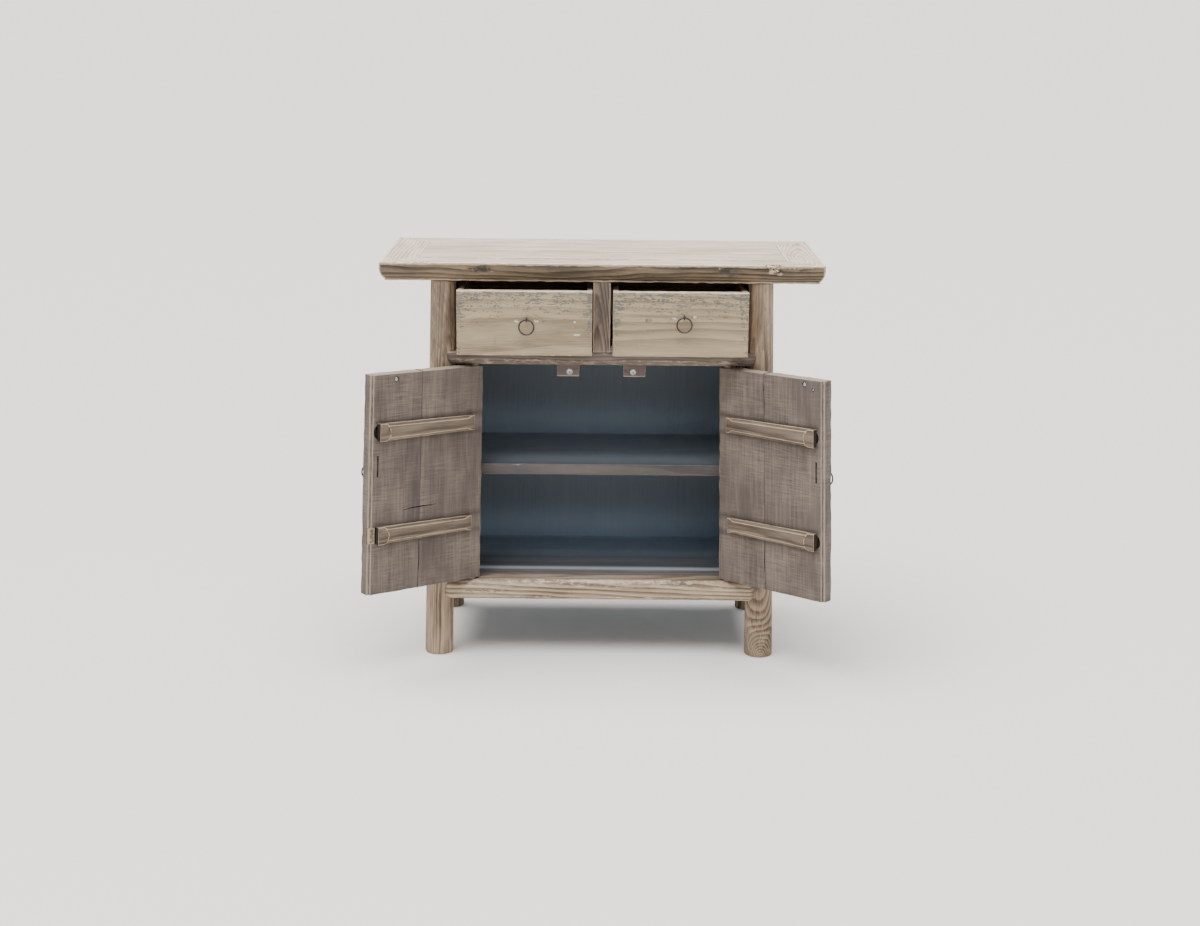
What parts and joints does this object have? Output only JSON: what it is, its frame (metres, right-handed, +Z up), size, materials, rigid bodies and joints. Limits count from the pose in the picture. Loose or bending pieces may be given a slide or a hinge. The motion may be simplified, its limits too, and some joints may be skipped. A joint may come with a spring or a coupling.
{
  "type": "kang cabinet",
  "caption": "Low wooden cabinet on round splayed posts, with a moulded framed top, ring-pulled drawers, and pivoting doors with tapered battens over a shelved inside.",
  "frame": {"origin": "centre of the footprint on the floor", "axes": "+X to the cabinet's right as seen from the front, -Y towards its front, +Z up"},
  "size_m": [1.0045, 0.5908, 0.88],
  "materials": {
    "top_wood": "bare, weathered",
    "post_wood": "bare, weathered",
    "rail_wood": "bare, weathered",
    "drawer_front_wood": "bare, weathered",
    "drawer_box_wood": "bare, weathered",
    "door_wood": "bare, weathered",
    "batten_wood": "bare, weathered",
    "inner_wood": "bare, weathered",
    "case_board_wood": "bare, weathered",
    "iron": "dark, worn",
    "magnet_steel": "dull"
  },
  "bodies": {
    "case": {"back_panel": "case_board_wood", "bottom_rail": "rail_wood", "catch_blocks": "inner_wood", "catch_magnets": "magnet_steel", "centre_runner": "case_board_wood", "drawer_divider": "rail_wood", "drawer_rail": "rail_wood", "floor_boards": "inner_wood", "front_left_leg": "post_wood", "front_right_leg": "post_wood", "left_bottom_side_rail": "rail_wood", "left_drawer_side_rail": "rail_wood", "left_jamb": "inner_wood", "left_runner": "case_board_wood", "left_side_panel": "case_board_wood", "left_upper_side_board": "case_board_wood", "rear_bottom_rail": "rail_wood", "rear_drawer_rail": "rail_wood", "rear_left_leg": "post_wood", "rear_right_leg": "post_wood", "right_bottom_side_rail": "rail_wood", "right_drawer_side_rail": "rail_wood", "right_jamb": "inner_wood", "right_runner": "case_board_wood", "right_side_panel": "case_board_wood", "right_upper_side_board": "case_board_wood", "shelf": "inner_wood", "shelf_bearers": "inner_wood", "top_back_rail": "top_wood", "top_battens": "case_board_wood", "top_front_rail": "top_wood", "top_left_end": "top_wood", "top_panel": "top_wood", "top_right_end": "top_wood", "upper_back_board": "case_board_wood"},
    "left_drawer": {"left_drawer_back": "drawer_box_wood", "left_drawer_bottom": "drawer_box_wood", "left_drawer_front": "drawer_front_wood", "left_drawer_left_side": "drawer_box_wood", "left_drawer_pull_pin": "iron", "left_drawer_right_side": "drawer_box_wood"},
    "right_drawer": {"right_drawer_back": "drawer_box_wood", "right_drawer_bottom": "drawer_box_wood", "right_drawer_front": "drawer_front_wood", "right_drawer_left_side": "drawer_box_wood", "right_drawer_pull_pin": "iron", "right_drawer_right_side": "drawer_box_wood"},
    "left_door": {"left_door_battens": "batten_wood", "left_door_hinge_board": "door_wood", "left_door_meeting_board": "door_wood", "left_door_pull_pin": "iron"},
    "right_door": {"right_door_battens": "batten_wood", "right_door_hinge_board": "door_wood", "right_door_meeting_board": "door_wood", "right_door_pull_pin": "iron"},
    "left_door_pull": {"left_door_ring": "iron"},
    "left_drawer_pull": {"left_drawer_ring": "iron"},
    "right_door_pull": {"right_door_ring": "iron"},
    "right_drawer_pull": {"right_drawer_ring": "iron"}
  },
  "joints": [
    {"name": "left_drawer_slide", "type": "slide", "parent": "case", "child": "left_drawer", "axis": [0, -1, 0], "range_m": [-0.05, 0.17]},
    {"name": "right_drawer_slide", "type": "slide", "parent": "case", "child": "right_drawer", "axis": [0, -1, 0], "range_m": [-0.05, 0.17]},
    {"name": "right_door_swing", "type": "hinge", "parent": "case", "child": "right_door", "pos_m": [0.2866, -0.1785, 0], "axis": [-0.0204, 0, 0.9998], "range_deg": [-136, 10]},
    {"name": "left_door_swing", "type": "hinge", "parent": "case", "child": "left_door", "pos_m": [-0.2866, -0.1785, 0], "axis": [-0.0204, 0, -0.9998], "range_deg": [-141, 5]},
    {"name": "left_drawer_ring_swing", "type": "hinge", "parent": "left_drawer", "child": "left_drawer_pull", "pos_m": [-0.15948, -0.2505, 0.7648], "axis": [-1, 0, 0], "range_deg": [-8, 95]},
    {"name": "left_door_ring_swing", "type": "hinge", "parent": "left_door", "child": "left_door_pull", "pos_m": [-0.49008, -0.32264, 0.46653], "axis": [0.7764, 0.6292, -0.0363], "range_deg": [-8, 95]},
    {"name": "right_drawer_ring_swing", "type": "hinge", "parent": "right_drawer", "child": "right_drawer_pull", "pos_m": [0.17507, -0.2505, 0.77239], "axis": [-1, 0, 0], "range_deg": [-8, 95]},
    {"name": "right_door_ring_swing", "type": "hinge", "parent": "right_door", "child": "right_door_pull", "pos_m": [0.47671, -0.34066, 0.46626], "axis": [0.7186, -0.6945, 0.0351], "range_deg": [-8, 95]}
  ]
}
